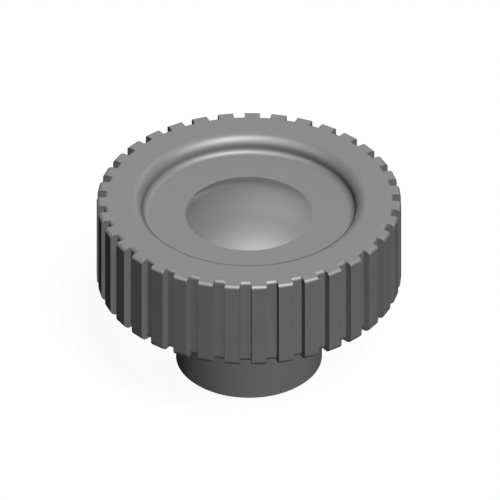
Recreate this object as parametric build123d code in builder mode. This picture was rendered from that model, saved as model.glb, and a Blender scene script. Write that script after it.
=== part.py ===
from build123d import *

import os
from math import radians, tan

# Toothed grip knob: one moulding with a brass bush moulded into its hub.
# Millimetres. The origin is the centre of the hub's lower face, +Z runs up the axis,
# and the first tooth of the rim is centred on +X.

# Toothed grip rim, measured across the flat tips of its teeth
grip_diameter = 50.0
grip_height = 16.0
tooth_count = 35
tooth_width = 2.5
tooth_depth = 1.25
tooth_top_radius = 0.6
tooth_foot_chamfer = 0.4

# Recess in the top face: a rounded lip, a short straight wall and a rounded floor corner
recess_diameter = 35.0
recess_lip_radius = 1.75
recess_wall = 0.1
recess_floor_radius = 1.0

# Dome in the middle of the recess
dome_diameter = 20.9
dome_height = 3.0

# Hub below the grip
hub_diameter = 24.0
hub_length = 15.6
hub_foot_chamfer = 0.25
hub_root_chamfer = 0.5

# Bush: hexagonal bar with a turned collar at its mouth and a turned groove round its middle
bush_across_flats = 14.0
bush_end_wall = 1.5
bush_end_chamfer = 0.5
collar_length = 2.5
collar_step = 0.4
groove_width = 3.0
groove_depth = 1.0

# Blind hole of the bush, bored to the core size of an M10 coarse thread
thread_core_diameter = 8.5
thread_depth = 18.0
mouth_chamfer = 1.05
drill_point_angle = 118.0

# Places that follow from the sizes above
grip_top = hub_length + grip_height
tip_distance = grip_diameter / 2
root_distance = tip_distance - tooth_depth
recess_radius = recess_diameter / 2
recess_lip_bottom = grip_top - recess_lip_radius
recess_wall_bottom = recess_lip_bottom - recess_wall
recess_floor = recess_wall_bottom - recess_floor_radius
collar_diameter = bush_across_flats - 2 * collar_step
groove_diameter = bush_across_flats - 2 * groove_depth
core_radius = thread_core_diameter / 2
drill_point_depth = core_radius / tan(radians(drill_point_angle / 2))
bush_length = thread_depth + drill_point_depth + bush_end_wall
groove_bottom = (bush_length - groove_width) / 2


# Outer form of the bush, which is also the seat that the moulding takes around it
with BuildPart() as bush_form:
    with BuildSketch():
        Circle(collar_diameter / 2)
    extrude(amount=collar_length)

    with BuildSketch(Plane.XY.offset(collar_length)):
        RegularPolygon(bush_across_flats / 2, 6, major_radius=False)
    extrude(amount=bush_length - collar_length)
    chamfer(faces().sort_by(Axis.Z)[-1].edges(), bush_end_chamfer)

    with BuildSketch(Plane.XY.offset(groove_bottom)):
        Circle(bush_across_flats)
        Circle(groove_diameter / 2, mode=Mode.SUBTRACT)
    extrude(amount=groove_width, mode=Mode.SUBTRACT)


# Threaded bush: the outer form with its blind hole, countersunk at the mouth
with BuildPart() as threaded_insert:
    add(bush_form.part)

    with BuildSketch(Plane.XZ):
        with BuildLine():
            Polyline(
                (0, 0),
                (core_radius + mouth_chamfer, 0),
                (core_radius, mouth_chamfer),
                (core_radius, thread_depth),
                (0, thread_depth + drill_point_depth),
                close=True,
            )
        make_face()
    revolve(mode=Mode.SUBTRACT)

threaded_insert.part.label = "threaded_insert"


# Moulding: toothed grip, hub, recess and dome in one piece
with BuildPart() as knob_body:
    # Teeth with flat tips and parallel flanks, one on each corner of a core with flat sides
    with BuildSketch(Plane.XY.offset(hub_length)):
        RegularPolygon(root_distance, tooth_count, major_radius=False)
        with PolarLocations(0, tooth_count):
            Rectangle(tip_distance, tooth_width, align=(Align.MIN, Align.CENTER))
    extrude(amount=grip_height)

    # The rim's upper edges are rounded all the way round the teeth, and its lower edges are chamfered
    fillet(faces().sort_by(Axis.Z)[-1].edges(), tooth_top_radius)
    chamfer(faces().sort_by(Axis.Z)[0].edges(), tooth_foot_chamfer)

    # Hub, chamfered at its foot and in the corner where it meets the rim's underside
    with BuildSketch():
        Circle(hub_diameter / 2)
    extrude(amount=hub_length)
    hub_ends = edges().filter_by(GeomType.CIRCLE).sort_by(Axis.Z)
    chamfer(hub_ends[0], hub_foot_chamfer)
    chamfer(hub_ends[1], hub_root_chamfer)

    # Recess in the top face
    with BuildSketch(Plane.XZ):
        with BuildLine():
            lip = TangentArc(
                (recess_radius + recess_lip_radius, grip_top),
                (recess_radius, recess_lip_bottom),
                tangent=(-1, 0),
            )
            corner = TangentArc(
                (recess_radius, recess_wall_bottom),
                (recess_radius - recess_floor_radius, recess_floor),
                tangent=(0, -1),
            )
            Line(lip @ 1, corner @ 0)
            Polyline(corner @ 1, (0, recess_floor), (0, grip_top), lip @ 0)
        make_face()
    revolve(mode=Mode.SUBTRACT)

    # Dome on the recess's floor
    with BuildSketch(Plane.XZ):
        with BuildLine():
            crown = TangentArc(
                (0, recess_floor + dome_height),
                (dome_diameter / 2, recess_floor),
                tangent=(1, 0),
            )
            Polyline(crown @ 1, (0, recess_floor), crown @ 0)
        make_face()
    revolve()

    # Seat round the bush, which is flush with the hub's foot
    add(bush_form.part, mode=Mode.SUBTRACT)

knob_body.part.label = "knob_body"


os.makedirs("parts", exist_ok=True)
export_step(knob_body.part, "parts/knob_body.step")
export_step(threaded_insert.part, "parts/threaded_insert.step")
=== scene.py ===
from math import asin, cos, degrees, pi, radians, sin, tan

import bmesh
import bpy
from mathutils import Matrix, Vector


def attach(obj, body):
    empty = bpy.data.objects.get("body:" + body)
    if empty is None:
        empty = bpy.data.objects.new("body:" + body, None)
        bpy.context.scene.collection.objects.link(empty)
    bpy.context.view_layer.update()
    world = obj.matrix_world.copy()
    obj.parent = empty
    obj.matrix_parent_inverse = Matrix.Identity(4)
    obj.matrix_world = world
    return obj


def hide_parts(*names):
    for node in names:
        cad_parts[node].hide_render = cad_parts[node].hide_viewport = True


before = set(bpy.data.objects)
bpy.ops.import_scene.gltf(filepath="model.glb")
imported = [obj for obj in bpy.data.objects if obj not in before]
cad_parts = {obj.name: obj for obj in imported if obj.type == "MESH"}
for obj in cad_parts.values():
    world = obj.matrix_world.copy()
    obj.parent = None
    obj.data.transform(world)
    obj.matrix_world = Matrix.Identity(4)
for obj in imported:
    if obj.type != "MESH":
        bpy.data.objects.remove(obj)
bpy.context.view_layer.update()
scene = bpy.context.scene
scene.view_settings.view_transform = "Standard"

# Sizes are in millimetres, as in the CAD, and are turned into metres where they are used
MM = 0.001


# Camera: parallel projection from above, with the first tooth's side of the knob to the right
view_elevation = radians(35.264)
view_turn = radians(45.0)
view_width = 82.14
aim_height = 21.44
aim_shift = 0.174
camera_distance = 400.0

back = Vector((
    sin(view_turn) * cos(view_elevation),
    -cos(view_turn) * cos(view_elevation),
    sin(view_elevation),
))
rightward = Vector((cos(view_turn), sin(view_turn), 0.0))
aim = Vector((0.0, 0.0, aim_height * MM)) + rightward * aim_shift * MM

camera_data = bpy.data.cameras.new("camera")
camera_data.type = "ORTHO"
camera_data.ortho_scale = view_width * MM
camera_data.clip_start = 0.01
camera_data.clip_end = 10.0
camera = bpy.data.objects.new("camera", camera_data)
camera_place = Matrix.Translation(aim + back * camera_distance * MM)
camera.matrix_world = camera_place @ back.to_track_quat("Z", "Y").to_matrix().to_4x4()
scene.collection.objects.link(camera)
scene.camera = camera


# Lamps: suns, each with a tilt off the vertical and a turn from the viewer's side to the right
lit_all_round = bpy.data.collections.new("lit_all_round")


def add_sun(name, tilt, turn, strength, width, shadow=True):
    """Add a sun, with its angles and its width in degrees.

    One without shadows would reach the bush through the moulding, so it lights only the pieces of
    the collection, and the bush isn't among them.
    """
    heading = view_turn + radians(turn)
    source = Vector((
        sin(radians(tilt)) * sin(heading),
        -sin(radians(tilt)) * cos(heading),
        cos(radians(tilt)),
    ))
    data = bpy.data.lights.new(name, "SUN")
    data.energy = strength
    data.angle = radians(width)
    data.use_shadow = shadow
    lamp = bpy.data.objects.new(name, data)
    lamp.rotation_euler = source.to_track_quat("Z", "Y").to_euler()
    scene.collection.objects.link(lamp)
    if not shadow:
        lamp.light_linking.receiver_collection = lit_all_round
    return lamp


add_sun("key", tilt=28.0, turn=20.0, strength=0.3, width=20.0)
add_sun("fill", tilt=31.0, turn=20.0, strength=1.8, width=20.0, shadow=False)
add_sun("side", tilt=36.0, turn=42.0, strength=0.62, width=30.0, shadow=False)
add_sun("back", tilt=105.0, turn=192.0, strength=1.0, width=10.0, shadow=False)
add_sun("under", tilt=160.0, turn=180.0, strength=1.3, width=10.0, shadow=False)

# This one shows only as a soft gloss on the faces that look up
gloss_lamp = add_sun("sheen", tilt=55.5, turn=162.0, strength=1.62, width=40.0, shadow=False)
gloss_lamp.visible_diffuse = False


# Nodes of the world and the materials
def grey(level):
    return (level, level, level, 1.0)


def add_node(tree, kind, inputs=None, **settings):
    """Add a node, with a value or a socket to link for each input, by its name or number."""
    node = tree.nodes.new(kind)
    for setting, value in settings.items():
        setattr(node, setting, value)
    for key, value in (inputs or {}).items():
        if isinstance(value, bpy.types.NodeSocket):
            tree.links.new(value, node.inputs[key])
        else:
            node.inputs[key].default_value = value
    return node


def mix_shaders(tree, share, first, second):
    """Node that mixes two shaders, with this share of the second."""
    return add_node(tree, "ShaderNodeMixShader", {0: share, 1: first.outputs[0], 2: second.outputs[0]})


def combine(tree, operation, first, second):
    """Socket with the result of a math operation on two values, each a socket or a number."""
    node = add_node(tree, "ShaderNodeMath", {0: first, 1: second}, operation=operation)
    return node.outputs[0]


def seen_or_mirrored(tree):
    """Socket that is 1 for what the camera sees, straight or in a mirror or through glass, and else 0."""
    path = add_node(tree, "ShaderNodeLightPath")
    mirrored = combine(tree, "MAXIMUM", path.outputs["Is Glossy Ray"], path.outputs["Is Transmission Ray"])
    return combine(tree, "MAXIMUM", path.outputs["Is Camera Ray"], mirrored)


def add_noise(tree, place, scale, detail):
    node = add_node(tree, "ShaderNodeTexNoise", {"Vector": place, "Scale": scale, "Detail": detail})
    return node.outputs["Fac"]


def remap(tree, value, old_range, new_range, interpolation="LINEAR"):
    """Socket with a value moved from one range to another."""
    inputs = {
        "Value": value,
        "From Min": old_range[0],
        "From Max": old_range[1],
        "To Min": new_range[0],
        "To Max": new_range[1],
    }
    return add_node(tree, "ShaderNodeMapRange", inputs, interpolation_type=interpolation).outputs[0]


def add_ramp(tree, value, stops, interpolation="LINEAR"):
    """Socket with a colour that follows a value, through stops that are each a value and its colour."""
    node = add_node(tree, "ShaderNodeValToRGB", {"Fac": value})
    node.color_ramp.interpolation = interpolation
    elements = node.color_ramp.elements
    while len(elements) < len(stops):
        elements.new(0.5)
    for element, (position, colour) in zip(elements, stops):
        element.position = position
        element.color = colour
    return node.outputs["Color"]


def add_bump(tree, height, strength, depth):
    inputs = {"Height": height, "Strength": strength, "Distance": depth * MM}
    return add_node(tree, "ShaderNodeBump", inputs).outputs["Normal"]


def new_material(name):
    material = bpy.data.materials.new(name)
    material.use_nodes = True
    material.node_tree.nodes.clear()
    return material, material.node_tree


# World: an even dim light on the object, and white wherever it is seen or mirrored
def make_world():
    world = bpy.data.worlds.new("studio")
    world.use_nodes = True
    tree = world.node_tree
    tree.nodes.clear()
    dim = add_node(tree, "ShaderNodeBackground", {"Color": grey(1.0), "Strength": 0.02})
    white = add_node(tree, "ShaderNodeBackground", {"Color": grey(1.0), "Strength": 1.0})
    mix = mix_shaders(tree, seen_or_mirrored(tree), dim, white)
    add_node(tree, "ShaderNodeOutputWorld", {"Surface": mix.outputs[0]})
    return world


scene.world = make_world()


# Floor: just below the hub, pale where it is seen or mirrored
floor_reach = 3000.0
floor_drop = 0.05


def floor_material():
    """It throws little light back up at the object, and shows from above only, not from below."""
    material, tree = new_material("floor_pale")
    pale = add_node(tree, "ShaderNodeBsdfDiffuse", {"Color": grey(0.8)})
    glow = add_node(tree, "ShaderNodeEmission", {"Color": grey(1.0), "Strength": 0.4})
    shown = add_node(tree, "ShaderNodeAddShader", {0: pale.outputs[0], 1: glow.outputs[0]})
    dull = add_node(tree, "ShaderNodeBsdfDiffuse", {"Color": grey(0.075)})
    upper_side = mix_shaders(tree, seen_or_mirrored(tree), dull, shown)
    under_side = add_node(tree, "ShaderNodeBsdfTransparent")
    below = add_node(tree, "ShaderNodeNewGeometry").outputs["Backfacing"]
    surface = mix_shaders(tree, below, upper_side, under_side)
    add_node(tree, "ShaderNodeOutputMaterial", {"Surface": surface.outputs[0]})
    return material


def new_mesh_object(name, bm, material):
    mesh = bpy.data.meshes.new(name)
    bm.to_mesh(mesh)
    bm.free()
    mesh.materials.append(material)
    made = bpy.data.objects.new(name, mesh)
    scene.collection.objects.link(made)
    return made


def floor_mesh():
    bm = bmesh.new()
    reach = floor_reach * MM
    corners = ((-reach, -reach), (reach, -reach), (reach, reach), (-reach, reach))
    bm.faces.new([bm.verts.new((x, y, -floor_drop * MM)) for x, y in corners])
    return bm


floor = new_mesh_object("floor", floor_mesh(), floor_material())
lit_all_round.objects.link(floor)


# Moulded plastic: grey, with fine spark-eroded grain and faint cloudiness in colour and roughness
def plastic_material():
    material, tree = new_material("moulded_plastic")
    place = add_node(tree, "ShaderNodeTexCoord")

    # Cloudiness some millimetres across, and specks as fine as the grain
    cloud = add_noise(tree, place.outputs["Object"], scale=160.0, detail=3.0)
    grain = add_noise(tree, place.outputs["Object"], scale=5200.0, detail=2.0)
    grain_share = 0.35
    blend = combine(tree, "ADD", combine(tree, "MULTIPLY", grain, grain_share), cloud)
    blend_range = (0.35, 1.0)
    shade = remap(tree, blend, blend_range, (0.0, 1.0))
    colour = add_ramp(tree, shade, ((0.0, grey(0.235)), (1.0, grey(0.255))))
    roughness = remap(tree, blend, blend_range, (0.51, 0.56))

    # Handling has polished the faces that look up, while the walls are as dull as they were moulded
    upward = add_node(tree, "ShaderNodeSeparateXYZ", {0: place.outputs["Normal"]}).outputs["Z"]
    polish = remap(tree, upward, (0.1, 0.6), (0.0, 1.0), "SMOOTHSTEP")

    # The rough surface mirrors most where it is seen straight on, and nothing at a flat angle
    facing_away = add_node(tree, "ShaderNodeLayerWeight", {"Blend": 0.5}).outputs["Facing"]
    gloss_curve = ((0.03, grey(1.2)), (0.28, grey(0.24)), (0.49, grey(0.1)), (0.73, grey(0.0)))
    gloss = add_ramp(tree, facing_away, gloss_curve, "EASE")

    shader = add_node(tree, "ShaderNodeBsdfPrincipled", {
        "Base Color": colour,
        "Roughness": roughness,
        "IOR": 1.7,
        "Specular IOR Level": combine(tree, "MULTIPLY", gloss, polish),
        "Normal": add_bump(tree, grain, strength=0.12, depth=0.03),
    })
    add_node(tree, "ShaderNodeOutputMaterial", {"Surface": shader.outputs[0]})
    return material


# Turned brass: fine rings round the bush's axis, and faint cloudiness
def brass_material():
    material, tree = new_material("turned_brass")
    place = add_node(tree, "ShaderNodeTexCoord").outputs["Object"]

    # Rings follow the distance from the axis, plus the height, so that they run on down the walls
    level = add_node(tree, "ShaderNodeVectorMath", {0: place, 1: (1.0, 1.0, 0.0)}, operation="MULTIPLY")
    reach = add_node(tree, "ShaderNodeVectorMath", {0: level.outputs[0]}, operation="LENGTH")
    height = add_node(tree, "ShaderNodeSeparateXYZ", {0: place}).outputs["Z"]
    along = combine(tree, "ADD", reach.outputs["Value"], height)
    ring_inputs = {"W": along, "Scale": 9000.0, "Detail": 2.0}
    rings = add_node(tree, "ShaderNodeTexNoise", ring_inputs, noise_dimensions="1D").outputs["Fac"]

    cloud = add_noise(tree, place, scale=350.0, detail=3.0)
    darker = (0.66, 0.46, 0.19, 1.0)
    lighter = (0.78, 0.59, 0.29, 1.0)
    shader = add_node(tree, "ShaderNodeBsdfPrincipled", {
        "Base Color": add_ramp(tree, cloud, ((0.0, darker), (1.0, lighter))),
        "Metallic": 1.0,
        "Roughness": remap(tree, rings, (0.0, 1.0), (0.24, 0.42)),
        "Normal": add_bump(tree, rings, strength=0.2, depth=0.02),
    })
    add_node(tree, "ShaderNodeOutputMaterial", {"Surface": shader.outputs[0]})
    return material


# Threaded bush: a hexagon with a corner on +X, a turned collar at its mouth and a groove round it
half_flats = 7.0
collar_step = 0.4
collar_length = 2.5
groove_depth = 1.0
groove_width = 3.0
end_wall = 1.5
end_chamfer = 0.5
collar_radius = half_flats - collar_step
groove_radius = half_flats - groove_depth

# Thread, from its core out to its root, in a drilled hole with a countersunk mouth
core_radius = 4.25
root_radius = 5.0
pitch = 1.5
crest_width = 0.4465
flank_width = 0.433
root_width = pitch - crest_width - 2 * flank_width
thread_end = 18.0
run_out = 1.2 * pitch
mouth_chamfer = 1.05
drill_point_angle = 118.0
drill_point = core_radius / tan(radians(drill_point_angle / 2))

bush_length = thread_end + drill_point + end_wall
groove_bottom = (bush_length - groove_width) / 2
groove_top = groove_bottom + groove_width

# Places up one pitch of the thread where its sides begin: crest, flank, root and the other flank
thread_sides = (0.0, crest_width, crest_width + flank_width, crest_width + flank_width + root_width)
rows_per_side = 3
bush_columns = 96
bush_headings = [2 * pi * i / bush_columns for i in range(bush_columns)]

# Points within the first distance become one point, and edges under the second are taken out
merge_distance = 0.002
sliver_length = 0.0005

# Edges that turn by more than this stay sharp
sharp_angle = radians(25.0)


def add_point(bm, radius, angle, height):
    return bm.verts.new((radius * cos(angle) * MM, radius * sin(angle) * MM, height * MM))


def add_ring(bm, radius, height):
    return [add_point(bm, radius, angle, height) for angle in bush_headings]


def hexagon_reach(half_width, angle):
    """Distance from the axis to a hexagon's side, for a hexagon with a corner on +X."""
    return half_width / cos((angle % (pi / 3)) - pi / 6)


def add_hexagon(bm, half_width, height):
    return [add_point(bm, hexagon_reach(half_width, angle), angle, height) for angle in bush_headings]


def add_bush_outside(bm):
    """Add the outer form, from the mouth's edge out round the bush and in over its far end."""
    rings = [
        add_ring(bm, core_radius + mouth_chamfer, 0.0),
        add_ring(bm, collar_radius, 0.0),
        add_ring(bm, collar_radius, collar_length),
        add_hexagon(bm, half_flats, collar_length),
        add_hexagon(bm, half_flats, groove_bottom),
        add_ring(bm, groove_radius, groove_bottom),
        add_ring(bm, groove_radius, groove_top),
        add_hexagon(bm, half_flats, groove_top),
        add_hexagon(bm, half_flats, bush_length - end_chamfer),
        add_hexagon(bm, half_flats - end_chamfer, bush_length),
    ]
    for lower, upper in zip(rings, rings[1:]):
        for i in range(bush_columns):
            after = (i + 1) % bush_columns
            bm.faces.new((lower[i], lower[after], upper[after], upper[i]))
    bm.faces.new(rings[-1])


def thread_radius(height, turn):
    """Radius of the thread at a height and a part of a turn, with its run-out and the mouth's chamfer."""
    _, flank, root, other_flank = thread_sides
    depth = root_radius - core_radius
    place = (height - pitch * turn) % pitch
    if place < flank:
        rise = 0.0
    elif place < root:
        rise = depth * (place - flank) / flank_width
    elif place < other_flank:
        rise = depth
    else:
        rise = depth * (pitch - place) / flank_width
    fade = min(1.0, max(0.0, (thread_end - height) / run_out))
    return max(core_radius + rise * fade, core_radius + mouth_chamfer - height)


def add_thread(bm):
    """Add the hole's wall: rows that climb with the thread, kept between the mouth and the bore's end."""
    steps = [
        start + part * (end - start) / rows_per_side
        for start, end in zip(thread_sides, thread_sides[1:] + (pitch,))
        for part in range(rows_per_side)
    ]
    rows = []
    for turn in range(-1, int(thread_end / pitch) + 2):
        for step in steps:
            row = []
            for i in range(bush_columns + 1):
                fraction = i / bush_columns
                height = min(thread_end, max(0.0, pitch * (turn + fraction) + step))
                row.append(add_point(bm, thread_radius(height, fraction), 2 * pi * fraction, height))
            rows.append(row)
    for lower, upper in zip(rows, rows[1:]):
        for i in range(bush_columns):
            bm.faces.new((lower[i], upper[i], upper[i + 1], lower[i + 1]))


def add_drill_point(bm):
    rim = add_ring(bm, core_radius, thread_end)
    tip = add_point(bm, 0.0, 0.0, thread_end + drill_point)
    for i in range(bush_columns):
        bm.faces.new((rim[(i + 1) % bush_columns], rim[i], tip))


def bush_mesh():
    bm = bmesh.new()
    add_bush_outside(bm)
    add_thread(bm)
    add_drill_point(bm)
    bmesh.ops.remove_doubles(bm, verts=bm.verts, dist=merge_distance * MM)
    bmesh.ops.dissolve_degenerate(bm, edges=bm.edges, dist=sliver_length * MM)
    bmesh.ops.recalc_face_normals(bm, faces=bm.faces)
    for face in bm.faces:
        face.smooth = True
    return bm


bush = new_mesh_object("threaded_bush", bush_mesh(), brass_material())
bush.data.set_sharp_from_angle(angle=sharp_angle)
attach(bush, "root")
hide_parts("threaded_insert")


# Moulding: toothed grip, hub, recess and dome, with finer roundings than the CAD mesh has
tooth_count = 35
tip_distance = 25.0
tooth_depth = 1.25
tooth_width = 2.5
tooth_corner = 0.08
grip_height = 16.0
top_rounding = 0.6
foot_rounding = 1.0
underside_reach = 22.0
hub_length = 15.6
hub_radius = 12.0
hub_foot_chamfer = 0.25
hub_root_chamfer = 0.5
recess_radius = 17.5
lip_rounding = 1.75
recess_wall = 0.1
floor_rounding = 1.0
dome_radius = 10.45
dome_height = 3.0

half_pitch = pi / tooth_count
half_tooth = tooth_width / 2
root_distance = tip_distance - tooth_depth
grip_top = hub_length + grip_height
recess_floor = grip_top - lip_rounding - recess_wall - floor_rounding
dome_top = recess_floor + dome_height

# Steps of the roundings in degrees, and the number of steps up the dome
foot_step = 15
top_step = 10
recess_step = 9
dome_steps = 14

# Headings of the columns of points, in degrees from a tooth's middle. The tooth has two corners, and
# so has the gap after it, with three columns to each.
tooth_steps = (-3.0, -1.8, -0.6, 0.6, 1.8, 3.0, 4.0, 4.45, 4.9, 5.39, 5.84, 6.29)
rim_headings = [
    2 * half_pitch * tooth + radians(step)
    for tooth in range(tooth_count)
    for step in tooth_steps
]

# Even headings for the hub and the seat, turned back by some columns to lie close to the rim's
columns_back = 2
body_columns = len(rim_headings)
even_headings = [2 * pi * (i - columns_back) / body_columns for i in range(body_columns)]


def corner_points(corner, flank, end, outward):
    """Three points that round the corner between a tooth's flank and its tip or a gap, from the flank on.

    Each is its place, the part of its facing that leans with the rim's roundings, and the part that
    stays level.
    """
    rounding = outward * tooth_corner
    centre = corner - (flank + end) * (rounding / (1 + flank.dot(end)))
    nothing = Vector((0.0, 0.0))
    return [
        (centre + flank * rounding, nothing, flank),
        (centre + (flank + end).normalized() * rounding, end, flank),
        (centre + end * rounding, end, nothing),
    ]


def rim_outline(inset):
    """Outline of the toothed rim, with the tips and gaps moved in by the inset and the flanks in place."""
    tip = tip_distance - inset
    root = (root_distance - inset - half_tooth * sin(half_pitch)) / cos(half_pitch)
    points = []
    for tooth in range(tooth_count):
        turn, turn_half, turn_on = (Matrix.Rotation(half_pitch * (2 * tooth + n), 2) for n in (0, 1, 2))
        tip_side = turn @ Vector((1.0, 0.0))
        gap_side = turn_half @ Vector((1.0, 0.0))
        flank = turn @ Vector((0.0, 1.0))
        next_flank = turn_on @ Vector((0.0, -1.0))
        next_root = turn_on @ Vector((root, -half_tooth))
        points += corner_points(turn @ Vector((tip, -half_tooth)), -flank, tip_side, 1)
        points += corner_points(turn @ Vector((tip, half_tooth)), flank, tip_side, 1)[::-1]
        points += corner_points(turn @ Vector((root, half_tooth)), flank, gap_side, -1)
        points += corner_points(next_root, next_flank, gap_side, -1)[::-1]
    return points


def circle_points(radius, headings):
    sides = [Vector((cos(angle), sin(angle))) for angle in headings]
    return [(side * radius, side, Vector((0.0, 0.0))) for side in sides]


def hexagon_points(half_width):
    """Points round the hexagonal seat, whose faces are all flat and need no facing."""
    points = []
    for angle in even_headings:
        reach = hexagon_reach(half_width, angle)
        points.append((Vector((reach * cos(angle), reach * sin(angle))), None, None))
    return points


# A ring is its points, its height, and the surface's tilt before the ring and after it. The tilt says how
# far above the horizontal the surface faces, in degrees. Where it is None, the face there is flat.
def seat_and_hub_rings():
    """Rings from the far end of the bush's seat down to the hub's foot, and up to the grip's underside."""
    return [
        (hexagon_points(half_flats - end_chamfer), bush_length, None, None),
        (hexagon_points(half_flats), bush_length - end_chamfer, None, None),
        (hexagon_points(half_flats), groove_top, None, None),
        (circle_points(groove_radius, even_headings), groove_top, None, 180),
        (circle_points(groove_radius, even_headings), groove_bottom, 180, None),
        (hexagon_points(half_flats), groove_bottom, None, None),
        (hexagon_points(half_flats), collar_length, None, None),
        (circle_points(collar_radius, even_headings), collar_length, None, 180),
        (circle_points(collar_radius, even_headings), 0.0, 180, -90),
        (circle_points(hub_radius - hub_foot_chamfer, even_headings), 0.0, -90, -45),
        (circle_points(hub_radius, even_headings), hub_foot_chamfer, -45, 0),
        (circle_points(hub_radius, even_headings), hub_length - hub_root_chamfer, 0, -45),
        (circle_points(hub_radius + hub_root_chamfer, even_headings), hub_length, -45, -90),
        (circle_points(underside_reach, rim_headings), hub_length, -90, -90),
    ]


def rim_rings():
    """Rings up the toothed rim, round its lower and upper edges."""
    rings = []
    for tilt in range(-90, 1, foot_step):
        inset = foot_rounding * (1 - cos(radians(tilt)))
        height = hub_length + foot_rounding * (1 + sin(radians(tilt)))
        rings.append((rim_outline(inset), height, None if tilt == -90 else tilt, tilt))
    for tilt in range(0, 91, top_step):
        inset = top_rounding * (1 - cos(radians(tilt)))
        height = grip_top - top_rounding * (1 - sin(radians(tilt)))
        rings.append((rim_outline(inset), height, tilt, None if tilt == 90 else tilt))
    return rings


def recess_rings():
    """Rings down into the recess, over its lip and round the corner of its floor."""
    rings = []
    for tilt in range(90, 181, recess_step):
        radius = recess_radius + lip_rounding * (1 + cos(radians(tilt)))
        height = grip_top - lip_rounding * (1 - sin(radians(tilt)))
        rings.append((circle_points(radius, rim_headings), height, tilt, tilt))
    for tilt in range(180, 89, -recess_step):
        radius = recess_radius - floor_rounding * (1 + cos(radians(tilt)))
        height = recess_floor + floor_rounding * (1 - sin(radians(tilt)))
        rings.append((circle_points(radius, rim_headings), height, tilt, tilt))
    return rings


def dome_rings():
    """Rings up the dome, which is a piece of a ball, from its foot to just short of its top."""
    rings = []
    ball_radius = (dome_radius ** 2 + dome_height ** 2) / (2 * dome_height)
    foot_lean = degrees(asin(dome_radius / ball_radius))
    for step in range(dome_steps):
        lean = foot_lean * (1 - step / dome_steps)
        radius = ball_radius * sin(radians(lean))
        height = dome_top - ball_radius * (1 - cos(radians(lean)))
        tilt = 90 - lean
        rings.append((circle_points(radius, rim_headings), height, tilt if step else 90, tilt))
    return rings


def facing(point, tilt):
    """Direction that the surface faces at a ring's point, from its two parts and the tilt there."""
    _, leaning, level = point
    across = leaning * cos(radians(tilt)) + level
    rise = leaning.length * sin(radians(tilt))
    return tuple(Vector((across.x, across.y, rise)).normalized())


def flat_facing(a, b, c, d):
    """Direction that a flat face with these corners faces."""
    return tuple((c - a).cross(d - b).normalized())


def body_mesh():
    rings = seat_and_hub_rings() + rim_rings() + recess_rings() + dome_rings()
    places = [
        (place.x * MM, place.y * MM, height * MM)
        for points, height, _, _ in rings
        for place, _, _ in points
    ]
    faces = []
    facings = []
    for number in range(len(rings) - 1):
        (lower, _, _, lower_tilt), (upper, _, upper_tilt, _) = rings[number], rings[number + 1]
        start = number * body_columns
        for i in range(body_columns):
            j = (i + 1) % body_columns
            corners = (start + i, start + j, start + body_columns + j, start + body_columns + i)
            points = (lower[i], lower[j], upper[j], upper[i])
            tilts = (lower_tilt, lower_tilt, upper_tilt, upper_tilt)
            faces.append(corners)
            if None in tilts or any(leaning is None for _, leaning, _ in points):
                facings.extend([flat_facing(*(Vector(places[n]) for n in corners))] * 4)
            else:
                facings.extend(facing(point, tilt) for point, tilt in zip(points, tilts))

    # The seat's flat end, and the top of the dome
    faces.append(tuple(reversed(range(body_columns))))
    facings.extend([(0.0, 0.0, -1.0)] * body_columns)
    last = (len(rings) - 1) * body_columns
    apex = len(places)
    places.append((0.0, 0.0, dome_top * MM))
    points, _, _, tilt = rings[-1]
    for i in range(body_columns):
        j = (i + 1) % body_columns
        faces.append((last + i, last + j, apex))
        facings.extend([facing(points[i], tilt), facing(points[j], tilt), (0.0, 0.0, 1.0)])

    mesh = bpy.data.meshes.new("moulding")
    mesh.from_pydata(places, [], faces)
    mesh.shade_smooth()
    mesh.normals_split_custom_set(facings)
    mesh.materials.append(plastic_material())
    return mesh


body = bpy.data.objects.new("moulding", body_mesh())
scene.collection.objects.link(body)
lit_all_round.objects.link(body)
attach(body, "root")
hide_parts("knob_body")
